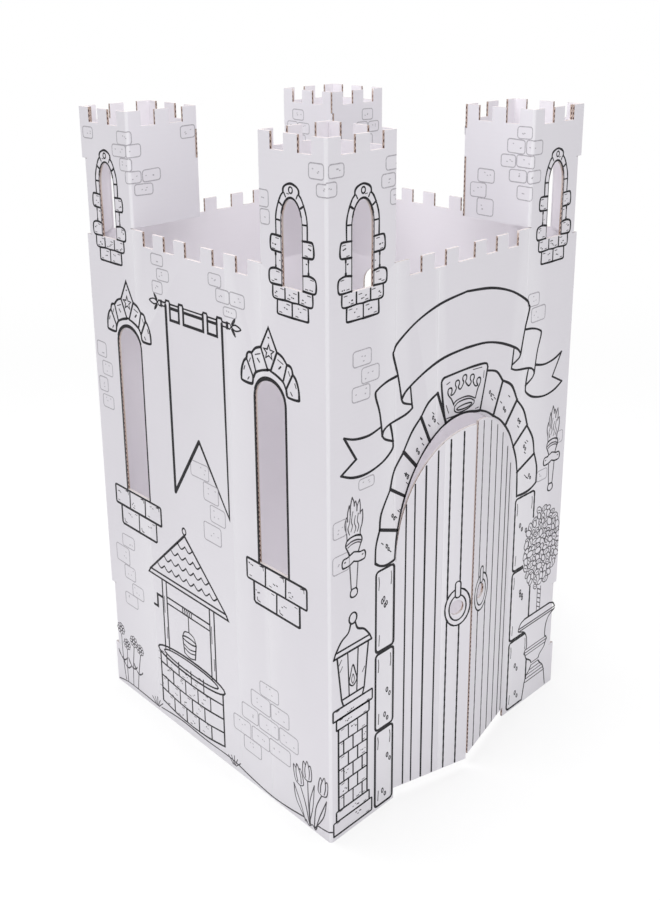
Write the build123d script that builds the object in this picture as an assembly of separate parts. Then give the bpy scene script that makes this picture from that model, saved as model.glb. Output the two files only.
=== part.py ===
from build123d import *
from math import cos, radians, sin, tan
import os

# Play castle folded from two sheets of printed corrugated card, each one wall, a corner fold
# and another wall. Lengths are in millimetres and angles in degrees.
# While it is drawn, the near corner stands at x = 0, y = 0: the door wall runs along +X and
# the window wall along +Y. At the end it is moved so that the footprint is centred.

# Card
card = 4.0  # thickness of the board
inner_fold_radius = 1.0  # on the inside of a fold
clearance = 0.3  # left between two faces of card that meet
slit = 1.5  # width of a die-cut line
crease_width = 3.0  # shallow line pressed into the printed face
crease_depth = 0.6

# Walls and towers
side = 580.0  # length of each front wall, from the corner fold to its cut end
overhang = 4.0  # how far the front walls' ends stand past the back walls
wall_top = 895.0  # top of the low walls between the towers
tower_rise = 185.0  # towers above the low walls
tower = 135.0  # width of a tower's face
flap_gap = 1.0  # slit between a low wall and the tower flaps cut from above it

# Battlements
tower_divisions = 5  # a tower's face is merlon, notch, merlon, notch, merlon in equal parts
tower_crenel = 24.0  # depth of the notches in the towers
wall_crenel = 24.0  # depth of the notches in the walls
wall_merlon = 27.0  # width of the walls' merlons and of the notches beside them

# Finger joint at a tower's inner corner
joint_rise = 100.0  # above the low walls
joint_height = 47.0

# Tabs at the ends of the front walls, tucked into slots on the back sheet's folds
lower_tab = 83.0  # above the floor
upper_tab_drop = 27.0  # below the top of the low walls
tab_height = 128.0
tab_length = 40.0
tab_slant = 15.0  # turn past square, into the castle
tab_chamfer = 8.0

# Flanges of the back sheet, flat behind the front walls
window_wall_flange = 20.0
door_wall_flange = 33.0

# Tower windows
tower_window_width = 40.0
tower_window_drop = 25.0  # sill below the top of the low walls
tower_window_straight = 88.0
tower_window_rise = 36.0

# Tall windows
tall_window_width = 64.0
tall_window_sill = 422.0
tall_window_straight = 270.0
tall_window_rise = 32.0
tall_window_near = 119.5  # centre of one, from the sheet's corner fold
tall_window_far = 107.0  # centre of the other, from the castle's corner at that end

# Door
door_near = 140.0  # hinge fold nearer the corner fold
door_width = 289.0
door_spring = 428.0
door_rise = 196.0
leaf_bottom = 19.0
near_leaf_angle = 15.5
far_leaf_angle = 13.0
finger_hole_radius = 13.0
finger_hole_inset = 27.5  # centre from the leaf's free edge
finger_hole_height = 315.0

# Creases across the flat blank, from the sheet's corner fold
window_wall_crease = 212.0
door_wall_crease = 227.0

# Values that follow
fold_radius = card + inner_fold_radius
through = 2 * card  # how far a cutting block runs past the board
height = wall_top + tower_rise
flap_bottom = wall_top + flap_gap
joint_low = wall_top + joint_rise
joint_high = joint_low + joint_height
tab_bottoms = (lower_tab, wall_top - upper_tab_drop)
back = side - overhang  # outer face of both back walls
flange_face = card + clearance  # outer face of the flanges
cut_back = card + clearance  # what a flap gives up for the one that crosses its end
far_fold = side - tower  # tower folds of the front walls
back_fold = back - tower  # tower folds beside the back corner
door_far = door_near + door_width
door_middle = door_near + door_width / 2


def block(x0, y0, z0, x1, y1, z1):
    """A box between two corners."""
    size = (abs(x1 - x0), abs(y1 - y0), abs(z1 - z0))
    return Pos((x0 + x1) / 2, (y0 + y1) / 2, (z0 + z1) / 2) * Box(*size)


def folded(points, inside, low, high):
    """Card folded along a plan line, which is its printed face, from one height to another."""
    printed_face = FilletPolyline(*points, radius=fold_radius)
    outline = make_face(offset(printed_face, amount=card, side=inside))
    return Pos(0, 0, low) * extrude(outline, high - low)


def standing(width, bottom, top):
    """A rectangle centred on the upright line, seen square on."""
    return Pos(0, (bottom + top) / 2) * Rectangle(width, top - bottom)


def arch(width, bottom, straight, rise):
    """Outline of an arched hole, seen square on."""
    spring = bottom + straight
    return standing(width, bottom, spring) + Pos(0, spring) * Ellipse(width / 2, rise)


def cutter(outline, x, y, turned=False):
    """A block with that outline, through a wall along X, or along Y where it is turned."""
    solid = extrude(Plane.XZ * outline, through, both=True)
    return Pos(x, y, 0) * Rot(0, 0, 90 if turned else 0) * solid


def mirrored(shapes):
    """The same shapes at the door wall's end as at the window wall's."""
    diagonal = Plane(origin=(0, 0, 0), z_dir=(1, -1, 0))
    return [mirror(shape, about=diagonal) for shape in shapes]


# Battlements and creases
def tower_notches(x, y):
    """Blocks that cut the battlements of the tower whose lowest plan corner is given."""
    step = tower / tower_divisions
    low = height - tower_crenel
    top = height + through
    blocks = []
    for start in (step, 3 * step):
        end = start + step
        blocks.append(block(x + start, y - through, low, x + end, y + tower + through, top))
        blocks.append(block(x - through, y + start, low, x + tower + through, y + end, top))
    return blocks


def wall_notches(first, last):
    """Spans of the notches in a wall between its two tower folds, with the odd one in the middle."""
    pairs = int(((last - first) / wall_merlon + 1) / 4)
    spans = [(first + (2 * pairs - 1) * wall_merlon, last - (2 * pairs - 1) * wall_merlon)]
    for count in range(1, pairs):
        near = first + (2 * count - 1) * wall_merlon
        far = last - (2 * count - 1) * wall_merlon
        spans += [(near, near + wall_merlon), (far - wall_merlon, far)]
    return spans


def notch_blocks(first, last, face, along_x):
    """Blocks that cut those notches in a wall whose printed face is at the given distance."""
    low = wall_top - wall_crenel
    blocks = []
    for start, end in wall_notches(first, last):
        if along_x:
            blocks.append(block(start, face - through, low, end, face + through, flap_bottom))
        else:
            blocks.append(block(face - through, start, low, face + through, end, flap_bottom))
    return blocks


def crease_wedges(places, face, outward, along_x):
    """Wedges that press vertical creases into a printed face."""
    half = crease_width / 2
    outer = outward * through
    section = [(0, -outward * crease_depth), (half, 0), (half, outer), (-half, outer), (-half, 0)]
    wedges = []
    for place in places:
        if along_x:
            points = [(place + along, face + out) for along, out in section]
        else:
            points = [(face + out, place + along) for along, out in section]
        outline = make_face(Polyline(*points, close=True))
        wedges.append(extrude(outline, wall_top, dir=(0, 0, 1)))
    return wedges


# Corners
def window_flap_fingers(x, y, toward_x, toward_y):
    """Ends of a window wall's flap, at a tower's inner corner: it crosses below and above."""
    reach_x = x + toward_x * cut_back
    face_y = y + toward_y * card
    lower = block(x, y, flap_bottom, reach_x, face_y, joint_low - clearance / 2)
    upper = block(x, y, joint_high + clearance / 2, reach_x, face_y, height)
    return [lower, upper]


def door_flap_finger(x, y, toward_x, toward_y):
    """End of a door wall's flap, at a tower's inner corner: it crosses between the two."""
    face_x = x + toward_x * card
    reach_y = y + toward_y * cut_back
    low = joint_low + clearance / 2
    high = joint_high - clearance / 2
    return [block(x, y, low, face_x, reach_y, high)]


def end_tab(bottom):
    """One tab at the end of the window wall."""
    start = back - 2 * fold_radius
    tip_x = tab_length * cos(radians(tab_slant))
    tip_y = back - tab_length * sin(radians(tab_slant))
    low = bottom + slit / 2
    high = bottom + tab_height - slit / 2
    tab = folded([(0, start), (0, back), (tip_x, tip_y)], Side.RIGHT, low, high)
    through_card = tab.edges().filter_by(lambda edge: abs(edge.length - card) < clearance)
    return chamfer(through_card.sort_by(Axis.X)[-2:], tab_chamfer)


def tab_room(bottom):
    """What is cut out of the window wall's end for such a tab."""
    start = back - 2 * fold_radius
    return block(-through, start, bottom, card + through, side + through, bottom + tab_height)


def fold_slot(bottom):
    """Slot on the back sheet's fold that takes such a tab."""
    slope = tan(radians(tab_slant))
    across = flange_face / slope + card
    behind = (flange_face + card) * slope + card / cos(radians(tab_slant)) + clearance
    low = bottom - clearance
    high = bottom + tab_height + clearance
    return block(0, back - behind, low, across, back + through, high)


# Windows and door
def tower_window_cutters(first, last, face, turned):
    """The arched holes of the two towers at a wall's ends."""
    sill = wall_top - tower_window_drop
    outline = arch(tower_window_width, sill, tower_window_straight, tower_window_rise)
    if turned:
        return [cutter(outline, face, at, turned=True) for at in (first, last)]
    return [cutter(outline, at, face) for at in (first, last)]


def tall_window_cutters(centres, face):
    """The tall arched holes of a window wall."""
    outline = arch(tall_window_width, tall_window_sill, tall_window_straight, tall_window_rise)
    return [cutter(outline, face, centre, turned=True) for centre in centres]


def door_leaf(sheet, near):
    """A leaf cut from the flat wall and swung out on the fold at its hinge."""
    hinged = standing(door_width, leaf_bottom, door_spring)
    crown = Pos(0, door_spring) * Ellipse(door_width / 2 - slit, door_rise - slit)
    crown = crown - standing(door_width, door_spring - door_rise, door_spring)
    hinge = door_near if near else door_far
    inward = 1 if near else -1
    free_edge = door_middle - inward * slit / 2
    leaf = sheet & cutter(hinged + crown, door_middle, card / 2)
    leaf = leaf & block(hinge, -through, 0, free_edge, card + through, wall_top)
    hole = cutter(Circle(finger_hole_radius), free_edge - inward * finger_hole_inset, card / 2)
    leaf = leaf - Pos(0, 0, finger_hole_height) * hole
    angle = near_leaf_angle if near else far_leaf_angle
    return leaf.rotate(Axis((hinge, card, 0), (0, 0, 1)), -inward * angle)


# Front sheet: window wall, near corner and door wall, near tower and half of two others
def front_towers():
    """The outer faces and folded-in flaps above the low walls."""
    short = tower - cut_back
    narrow = tower - fold_radius
    return [
        folded([(0, narrow), (0, 0), (narrow, 0)], Side.LEFT, wall_top, flap_bottom),
        folded([(short, tower), (0, tower), (0, 0), (tower / 2, 0)], Side.LEFT, flap_bottom, height),
        folded([(tower / 2, 0), (tower, 0), (tower, short)], Side.LEFT, flap_bottom, height),
        block(0, far_fold + fold_radius, wall_top, card, side, flap_bottom),
        folded([(short, far_fold), (0, far_fold), (0, side)], Side.RIGHT, flap_bottom, height),
        block(far_fold + fold_radius, 0, wall_top, side, card, flap_bottom),
        folded([(far_fold, short), (far_fold, 0), (side, 0)], Side.LEFT, flap_bottom, height),
    ]


def make_front_sheet():
    walls = folded([(0, side), (0, 0), (side, 0)], Side.LEFT, 0, wall_top)
    walls = walls - crease_wedges([tower, window_wall_crease, far_fold], 0, -1, along_x=False)
    walls = walls - crease_wedges([tower, door_wall_crease, far_fold], 0, -1, along_x=True)
    leaves = [door_leaf(walls, near=True), door_leaf(walls, near=False)]
    doorway = arch(door_width, -through, door_spring + through, door_rise)
    walls = walls - cutter(doorway, door_middle, card / 2)
    walls = walls - notch_blocks(tower, far_fold, 0, along_x=False)
    walls = walls - notch_blocks(tower, far_fold, 0, along_x=True)

    fingers = window_flap_fingers(tower, tower, -1, -1) + door_flap_finger(tower, tower, -1, -1)
    fingers += window_flap_fingers(tower, far_fold, -1, 1) + door_flap_finger(far_fold, tower, 1, -1)
    sheet = walls + front_towers() + fingers

    rooms = [tab_room(bottom) for bottom in tab_bottoms]
    tabs = [end_tab(bottom) for bottom in tab_bottoms]
    sheet = sheet - rooms - mirrored(rooms) + tabs + mirrored(tabs) + leaves

    sheet = sheet - tower_notches(0, 0) - tower_notches(0, far_fold) - tower_notches(far_fold, 0)
    first = tower / 2
    last = side - tower / 2
    sheet = sheet - tower_window_cutters(first, last, card / 2, turned=False)
    sheet = sheet - tower_window_cutters(first, last, card / 2, turned=True)
    return sheet - tall_window_cutters([tall_window_near, side - tall_window_far], card / 2)


# Back sheet: the two hidden walls, the back corner and the other halves of the side towers
left_end = (flange_face, back - window_wall_flange)
left_corner = (flange_face, back)
back_corner = (back, back)
right_corner = (back, flange_face)
right_end = (back - door_wall_flange, flange_face)


def back_towers():
    """The outer faces and folded-in flaps above the low walls."""
    near = tower - fold_radius
    far = back_fold + fold_radius
    short = back_fold + cut_back
    middle = back - tower / 2
    left_flap = [(tower, back), (tower, far_fold + cut_back)]
    right_flap = [(far_fold + cut_back, tower), (back, tower)]
    return [
        folded([left_end, left_corner, (near, back)], Side.RIGHT, wall_top, flap_bottom),
        folded([left_end, left_corner] + left_flap, Side.RIGHT, flap_bottom, height),
        folded([(back, near), right_corner, right_end], Side.RIGHT, wall_top, flap_bottom),
        folded(right_flap + [right_corner, right_end], Side.RIGHT, flap_bottom, height),
        folded([(far, back), back_corner, (back, far)], Side.RIGHT, wall_top, flap_bottom),
        folded(
            [(back_fold, short), (back_fold, back), back_corner, (back, middle)],
            Side.RIGHT, flap_bottom, height,
        ),
        folded([(back, middle), (back, back_fold), (short, back_fold)], Side.RIGHT, flap_bottom, height),
    ]


def make_back_sheet():
    corners = [left_end, left_corner, back_corner, right_corner, right_end]
    walls = folded(corners, Side.RIGHT, 0, wall_top)
    walls = walls - crease_wedges([tower, back - door_wall_crease, back_fold], back, 1, along_x=True)
    walls = walls - crease_wedges([tower, back - window_wall_crease, back_fold], back, 1, along_x=False)
    walls = walls - notch_blocks(tower, back_fold, back, along_x=True)
    walls = walls - notch_blocks(tower, back_fold, back, along_x=False)

    fingers = window_flap_fingers(back_fold, back_fold, 1, 1) + door_flap_finger(back_fold, back_fold, 1, 1)
    fingers += window_flap_fingers(far_fold, tower, 1, -1) + door_flap_finger(tower, far_fold, -1, 1)
    sheet = walls + back_towers() + fingers

    slots = [fold_slot(bottom) for bottom in tab_bottoms]
    sheet = sheet - slots - mirrored(slots)

    sheet = sheet - tower_notches(0, far_fold) - tower_notches(far_fold, 0)
    sheet = sheet - tower_notches(back_fold, back_fold)
    first = tower / 2
    last = back - tower / 2
    face = back - card / 2
    sheet = sheet - tower_window_cutters(first, last, face, turned=False)
    sheet = sheet - tower_window_cutters(first, last, face, turned=True)
    return sheet - tall_window_cutters([tall_window_far, back - tall_window_near], face)


os.makedirs("parts", exist_ok=True)
front_sheet = make_front_sheet()
back_sheet = make_back_sheet()
footprint = Compound([front_sheet, back_sheet]).bounding_box().center()
to_origin = Pos(-footprint.X, -footprint.Y, 0)
for name, sheet in (("front_sheet", front_sheet), ("back_sheet", back_sheet)):
    export_step(to_origin * sheet, f"parts/{name}.step")
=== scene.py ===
# %% [markdown]
# # A play castle folded from printed card
# The real castle is two sheets of white-faced corrugated board, printed with charcoal lines to be
# coloured in, die-cut, creased and folded. The shape comes ready-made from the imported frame. This
# script gives the board its paper finish, opens its cut edges to show the flutes, and prints the
# line drawing on its faces.

# %% Load the frame
import random
from math import cos, hypot, pi, radians, sin

import bmesh
import bpy
from mathutils import Matrix, Vector
from mathutils.bvhtree import BVHTree


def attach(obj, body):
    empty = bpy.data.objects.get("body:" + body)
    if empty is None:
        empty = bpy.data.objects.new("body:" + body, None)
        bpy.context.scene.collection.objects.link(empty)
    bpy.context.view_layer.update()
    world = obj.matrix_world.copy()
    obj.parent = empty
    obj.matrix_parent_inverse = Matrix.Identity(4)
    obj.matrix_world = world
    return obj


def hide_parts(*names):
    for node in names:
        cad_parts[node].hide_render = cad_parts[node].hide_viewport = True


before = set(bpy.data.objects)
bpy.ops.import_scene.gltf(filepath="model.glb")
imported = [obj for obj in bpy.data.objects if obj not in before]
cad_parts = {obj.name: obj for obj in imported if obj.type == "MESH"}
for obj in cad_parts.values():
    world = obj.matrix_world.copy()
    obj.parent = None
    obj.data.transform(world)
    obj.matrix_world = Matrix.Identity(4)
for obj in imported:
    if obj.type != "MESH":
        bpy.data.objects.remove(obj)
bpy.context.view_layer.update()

# %% [markdown]
# ## Sizes
# Card work is measured in millimetres, and Blender counts in metres, so lengths are written in
# millimetres and turned once, where points are placed. They are the same sizes that the folded
# sheets were drawn with, because a print has to meet its windows and its door.

# %% Sizes of the castle, in millimetres
MM = 0.001
card = 4.0
side = 580.0
back = 576.0
tower = 135.0
wall_top = 895.0
fold_radius = 5.0
flute_pitch = 8.0
near_corner = Vector((-290.0, -270.865, 0.0))
tower_sill, tower_window_half = 870.0, 20.0
tower_window_straight, tower_window_rise = 88.0, 36.0
tall_sill, tall_half, tall_spring, tall_rise = 422.0, 32.0, 692.0, 32.0
tall_near, tall_far = 119.5, 107.0
door_near, door_width, door_spring, door_rise = 140.0, 289.0, 428.0, 196.0
door_middle = door_near + door_width / 2
near_leaf_angle, far_leaf_angle = radians(15.5), radians(13.0)
print("tower windows are", 2 * tower_window_half, "mm wide and tall ones", 2 * tall_half, "mm")

# %% [markdown]
# ## Arithmetic on sockets
# A paper finish is a sum of faint patterns. Wiring each plus and times by hand is slow to read, so
# this small class wraps a node's output and lets Python's own signs add the Math nodes.


# %% A socket that can be added and multiplied
class Shade:
    """A node's output in one material, or the bare material before it has any."""

    def __init__(self, tree, socket=None):
        self.tree, self.socket = tree, socket

    def node(self, kind, settings=None, sockets=None, output=0):
        """Adds a node, gives it its settings, then the values or links of its sockets."""
        made = self.tree.nodes.new("ShaderNode" + kind)
        for name, value in (settings or {}).items():
            setattr(made, name, value)
        for name, value in (sockets or {}).items():
            if isinstance(value, Shade):
                self.tree.links.new(value.socket, made.inputs[name])
            else:
                made.inputs[name].default_value = value
        return Shade(self.tree, made.outputs[output])

    def math(self, operation, first, second=0.0):
        return self.node("Math", {"operation": operation}, {0: first, 1: second})

    def __add__(self, other):
        return self.math("ADD", self, other)

    def __sub__(self, other):
        return self.math("SUBTRACT", self, other)

    def __mul__(self, other):
        return self.math("MULTIPLY", self, other)

    def __rsub__(self, other):
        return self.math("SUBTRACT", other, self)

    __radd__, __rmul__ = __add__, __mul__

    def size(self):
        return self.math("ABSOLUTE", self)

    def ramp(self, start, end):
        """0 up to start, 1 from end, and smooth between."""
        sockets = {"Value": self, "From Min": start, "From Max": end}
        return self.node("MapRange", {"interpolation_type": "SMOOTHSTEP"}, sockets)

    def blend(self, colour_at_0, colour_at_1):
        """A colour mixed by this factor."""
        sockets = {0: self, 6: colour_at_0, 7: colour_at_1}
        return self.node("Mix", {"data_type": "RGBA"}, sockets, output=2)

    def height(self):
        """The upward part of a place or a direction."""
        return self.node("SeparateXYZ", None, {0: self}, output=2)

    def noise(self, scale, detail):
        return self.node("TexNoise", None, {"Vector": self, "Scale": scale, "Detail": detail})

    def stored(self, name):
        """A value kept on the mesh's points."""
        return self.node("Attribute", {"attribute_name": name}, output=2)

    def bump(self, strength, distance):
        return self.node("Bump", None, {"Strength": strength, "Distance": distance, "Height": self})

    def feed(self, shader, name):
        """Links this pattern to one of a shader's own sockets."""
        self.tree.links.new(self.socket, shader.inputs[name])


def new_finish(name, roughness):
    """A material, its shader, and the place of each point in metres."""
    material = bpy.data.materials.new(name)
    material.use_nodes = True
    shader = material.node_tree.nodes["Principled BSDF"]
    shader.inputs["Roughness"].default_value = roughness
    shader.inputs["Specular IOR Level"].default_value = 0.3
    return material, shader, Shade(material.node_tree).node("TexCoord", output=3)


def flutes(place):
    """A wave from -1 to 1 that follows the height, one turn to each flute of the board."""
    return place.math("SINE", place.height() * (2 * pi / (flute_pitch * MM)))


# %% [markdown]
# ## Paper of the faces
# The liner is smooth bleached paper glued over the fluted core. Three things keep it from looking
# like plastic: clouds of tone about 20 cm wide, fibres a millimetre wide and finer, and the
# washboard, the faint ribs that the flutes press through the liner every 8 mm, with a little
# painted shade in the valleys between them. Here the flutes run level, so the ribs follow height.
# Where the board is bent, a value stored on the mesh, bend, paints the folds paler: partly the
# whiter paper where its surface cracks a little, partly a painted highlight along the fold.


# %% Faces of the board
def paper(name, pale, shaded, fold_crack_and_highlight_colour):
    """Liner paper between two tones, and a third for the folds: whiter cracked paper and a painted highlight.
    """
    material, shader, place = new_finish(name, 0.8)
    clouds = place.noise(scale=5.0, detail=3.0)
    fibres = place.noise(scale=900.0, detail=4.0)
    ribs = flutes(place) * 0.5 + 0.5
    bend = place.stored("bend")
    cloud_share, fibre_share, rib_valley_shade, evened = 0.9, 0.5, 0.05, 0.22
    # The ribs' share of the tone is painted shade: the valleys between ribs come out a little darker.
    tone = clouds * cloud_share + fibres * fibre_share + ribs * rib_valley_shade - evened
    # The folds' paler colour is partly the whiter cracked liner and partly a painted highlight along each
    # fold.
    fold_crack_and_highlight = bend * (0.2 + fibres * fibre_share)
    fold_crack_and_highlight.blend(tone.blend(shaded, pale), fold_crack_and_highlight_colour).feed(shader, "Base Color")
    (0.72 + fibres * 0.16).feed(shader, "Roughness")
    rib_rise, fibre_rise, cracked_rise, cloud_rise = 0.15, 0.35, 0.8, 0.6
    relief = ribs * rib_rise + fibres * (fibre_rise + bend * cracked_rise) + clouds * cloud_rise
    relief.bump(strength=0.16, distance=0.0006).feed(shader, "Normal")
    return material


printed_paper = paper(
    "printed_liner", (0.725, 0.705, 0.748, 1), (0.668, 0.648, 0.69, 1), (0.8, 0.79, 0.82, 1)
)
# The inside liner is the same paper painted paler, as painted light where the inside of the castle gets less
# light.
inside_paper_painted_paler = paper("inside_liner_painted_paler", (0.82, 0.79, 0.83, 1), (0.77, 0.74, 0.78, 1), (0.83, 0.81, 0.84, 1))
print("papers:", printed_paper.name, inside_paper_painted_paler.name)

# %% [markdown]
# ## Cut edges
# A die-cut edge shows the board's inside: two liners with a wavy brown sheet between them. The
# wave is worked out in space, not painted on. Each point of the edge knows how deep it lies
# between the printed face, 0, and the inside, 1, and the wave's depth follows its height. Upright
# cuts cross the flutes and show a hollow every 8 mm, as a row of dots painted dark: the board's
# brown with painted shade for the void. Level cuts run along the flutes, where the knife presses
# them shut, and their colour is darkened with painted shade, which tones down the up-facing edges
# under the overhead lamps.


# %% Cut edges of the board
def fluted_edge():
    dark_core, pale_core = (0.43, 0.32, 0.27, 1), (0.60, 0.475, 0.415, 1)
    # Painted shade: the hollows' near-black brown stands for the shade in the flutes' voids, and the level
    # edges' core is darkened to tone down up-facing edges under the overhead lamps.
    pressed_core_and_shade, hollow_shade_brown = (0.45, 0.41, 0.405, 1), (0.075, 0.035, 0.03, 1)
    liner_edge = (0.66, 0.61, 0.605, 1)
    material, shader, place = new_finish("cut_edge", 0.9)
    grain = place.noise(scale=1500.0, detail=3.0)
    depth = place.stored("depth")
    middle, swing, liner_inner, liner_outer = 0.5, 0.33, 0.42, 0.48
    wave = flutes(place) * swing + middle
    liner = (depth - middle).size().ramp(liner_inner, liner_outer)
    # The hollows between the wave and the liners are painted shade over the board's brown.
    outer_hollow_shade = (wave - depth).ramp(0.06, 0.19)
    inner_hollow_shade = (depth - wave).ramp(0.14, 0.30) * 0.35
    facing = place.node("NewGeometry", output=1)
    upright = 1.0 - facing.height().size().ramp(0.35, 0.8)
    hollow_shade = (outer_hollow_shade + inner_hollow_shade) * (1.0 - liner) * upright
    core = (grain * 0.8 + 0.1).blend(dark_core, pale_core)
    colour = hollow_shade.blend(upright.blend(pressed_core_and_shade, core), hollow_shade_brown)
    (liner * 0.7).blend(colour, liner_edge).feed(shader, "Base Color")
    (grain * 0.3 - hollow_shade).bump(strength=0.6, distance=0.001).feed(shader, "Normal")
    return material


cut_edge = fluted_edge()
print("edge:", cut_edge.name, "with a flute every", flute_pitch, "mm")

# %% [markdown]
# ## Dressing the sheets
# The frame's sheets have one material all over, so each is copied, and the copy's faces are sorted.
# A ray sent from a face straight into the board leaves it after the card's thickness if that face
# is paper, and much later if it is a cut edge. The paper then falls into islands, parted by the
# cut edges: the island that holds the outermost face is the printed side, and the other the inside.


# %% Sort a sheet's faces
def find_cut_edges(mesh):
    """The faces from which the board is much more than its thickness through."""
    just_inside, reach = 1e-5, 1.7 * card * MM
    tree = BVHTree.FromBMesh(mesh)
    cuts = set()
    for face in mesh.faces:
        start = face.calc_center_median() - face.normal * just_inside
        if tree.ray_cast(start, -face.normal, reach)[0] is None:
            cuts.add(face)
    return cuts


def island(start, cuts):
    """Paper faces that can be reached without crossing a cut edge."""
    found, waiting = {start}, [start]
    while waiting:
        for edge in waiting.pop().edges:
            for face in edge.link_faces:
                if face not in found and face not in cuts:
                    found.add(face)
                    waiting.append(face)
    return found


def bends(vertex, cuts):
    """1 on a fold, where the paper's normals lean between two walls, and 0 on a flat wall."""
    square_on, level = 0.94, 0.1
    normals = [face.normal for face in vertex.link_faces if face not in cuts]
    leaning = [n for n in normals if max(abs(n.x), abs(n.y)) < square_on and abs(n.z) < level]
    return 1.0 if leaning else 0.0


# %% Copy a sheet with its three finishes
def add_object(name, data):
    """An object in the scene, with a mesh, a light or a camera for its data."""
    made = bpy.data.objects.new(name, data)
    bpy.context.scene.collection.objects.link(made)
    return made


def add_piece(name, mesh, finishes):
    """A piece of the castle from a mesh in work. It rides on the frame's one body."""
    data = bpy.data.meshes.new(name)
    mesh.to_mesh(data)
    mesh.free()
    for finish in finishes:
        data.materials.append(finish)
    piece = add_object(name, data)
    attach(piece, "root")
    return piece


def dress(node_name, outermost_x):
    """Puts a finished copy in the place of one of the frame's sheets."""
    weld, same_place, sharp_turn = 1e-6, 1e-4, radians(21)
    mesh = bmesh.new()
    mesh.from_mesh(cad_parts[node_name].data)
    bmesh.ops.remove_doubles(mesh, verts=mesh.verts, dist=weld)
    mesh.normal_update()
    cuts = find_cut_edges(mesh)
    outer = [f for f in mesh.faces if abs(f.calc_center_median().x - outermost_x * MM) < same_place]
    printed = island(max((f for f in outer if f not in cuts), key=lambda f: f.calc_area()), cuts)
    depth = mesh.verts.layers.float.new("depth")
    bend = mesh.verts.layers.float.new("bend")
    for vertex in mesh.verts:
        vertex[depth] = 0.0 if any(face in printed for face in vertex.link_faces) else 1.0
        vertex[bend] = bends(vertex, cuts)
    for face in mesh.faces:
        face.material_index = 2 if face in cuts else 0 if face in printed else 1
        face.smooth = True
    print(node_name, len(mesh.faces), "faces,", len(cuts), "on cut edges,", len(printed), "printed")
    piece = add_piece(node_name + "_card", mesh, (printed_paper, inside_paper_painted_paler, cut_edge))
    piece.data.set_sharp_from_angle(angle=sharp_turn)
    weights = piece.modifiers.new("flat faces stay flat", "WEIGHTED_NORMAL")
    weights.keep_sharp = True
    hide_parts(node_name)


dress("front_sheet", near_corner.x)
dress("back_sheet", near_corner.x + back)

# %% [markdown]
# ## Ink
# The drawing is line work, black for the stonework and door, softer for plants and torches, and
# very pale for loose bricks. A texture would need a picture file, so each line is a thin ribbon of
# mesh on the paper, a twentieth of a millimetre thick, as screen ink is. It stays sharp at any
# distance. Ink spreads a little into the paper, so a line comes out wider than it was drawn.


# %% Three inks
def ink(name, colour, roughness):
    material, shader, place = new_finish(name, roughness)
    wear = place.noise(scale=700.0, detail=3.0)
    thin = tuple(part * 1.5 + 0.012 for part in colour) + (1,)
    wear.ramp(0.45, 0.75).blend(colour + (1,), thin).feed(shader, "Base Color")
    wear.bump(strength=0.1, distance=0.0002).feed(shader, "Normal")
    return material


inks = (
    ink("black_ink", (0.007, 0.006, 0.009), 0.62),
    ink("soft_ink", (0.055, 0.05, 0.058), 0.66),
    ink("pale_ink", (0.36, 0.345, 0.375), 0.75),
)
BLACK, SOFT, PALE = 0, 1, 2
ink_spread = 1.4
ink_lift, ink_thickness = 0.03, 0.05
print("inks:", *(finish.name for finish in inks))

# %% [markdown]
# ## A pen
# A pen collects strokes for one face of the castle, in millimetres along the face and up it, as
# one would sketch on the flat blank. Curves go through their points the way a flexible ruler does
# (a Catmull-Rom curve), so a stone's outline needs only a few points. The pen's zero can be placed
# anywhere, and mirrored, so a window is drawn once, about its own middle. A pen can keep clear of
# a hole: it moves each point that would fall there to the hole's rim. And where a thing stands in
# front of another, the pen covers its outline first, which rubs out the lines behind.


# %% Points along curves
def between(a, b, c, d, t):
    """A share t of the way from b to c, on a curve that also passes a and d."""
    square, cube = 2 * a - 5 * b + 4 * c - d, 3 * b - a - 3 * c + d
    return 0.5 * (2 * b + (c - a) * t + square * t ** 2 + cube * t ** 3)


def through(points, closed=False, steps=5):
    """Points along a smooth curve through the given ones."""
    count = len(points)
    track = []
    for span in range(count if closed else count - 1):
        places = [span + k for k in (-1, 0, 1, 2)]
        near = [points[k % count if closed else min(max(k, 0), count - 1)] for k in places]
        for step in range(steps):
            track.append(tuple(between(*four, step / steps) for four in zip(*near)))
    return track if closed else track + [tuple(points[-1])]


def oval(across, up, half_width, half_height, start=0, end=360, steps=24):
    """Points on an ellipse, angles in degrees from the right."""
    turns = [radians(start + (end - start) * k / steps) for k in range(steps + 1)]
    return [(across + half_width * cos(t), up + half_height * sin(t)) for t in turns]


def block(left, right, low, high):
    return [(left, low), (right, low), (right, high), (left, high)]


def rounded(left, right, low, high, radius):
    """Points round a box with rounded corners."""
    centres = block(left + radius, right - radius, low + radius, high - radius)
    starts = (180, -90, 0, 90)
    corners = [oval(*centres[k], radius, radius, starts[k], starts[k] + 90, 3) for k in (1, 2, 3, 0)]
    return sum(corners, [])


def both_sides(half):
    """A closed outline from its right half, which runs from the foot to the top."""
    return list(half) + [(-x, y) for x, y in reversed(half)]


# %% What lies behind an outline
def inside(point, outline):
    """Whether a point lies within a closed outline."""
    x, y = point
    crossings = 0
    for (x0, y0), (x1, y1) in zip(outline, outline[1:] + outline[:1]):
        if (y0 > y) != (y1 > y) and x < x0 + (y - y0) * (x1 - x0) / (y1 - y0):
            crossings += 1
    return crossings % 2 == 1


def stepped(points, step=1.2):
    """The same path with more points, so that it can be cut where it goes behind."""
    track = []
    for (x0, y0), (x1, y1) in zip(points, points[1:]):
        count = max(1, round(hypot(x1 - x0, y1 - y0) / step))
        track += [(x0 + (x1 - x0) * k / count, y0 + (y1 - y0) * k / count) for k in range(count)]
    return track + [tuple(points[-1])]


def apart(points, outline):
    """Whether two sets of points are clear of each other across or up."""
    pairs = zip(zip(*points), zip(*outline))
    return any(max(ours) < min(theirs) or min(ours) > max(theirs) for ours, theirs in pairs)


# %% The pen
def anywhere(across, up):
    return across, up


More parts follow.
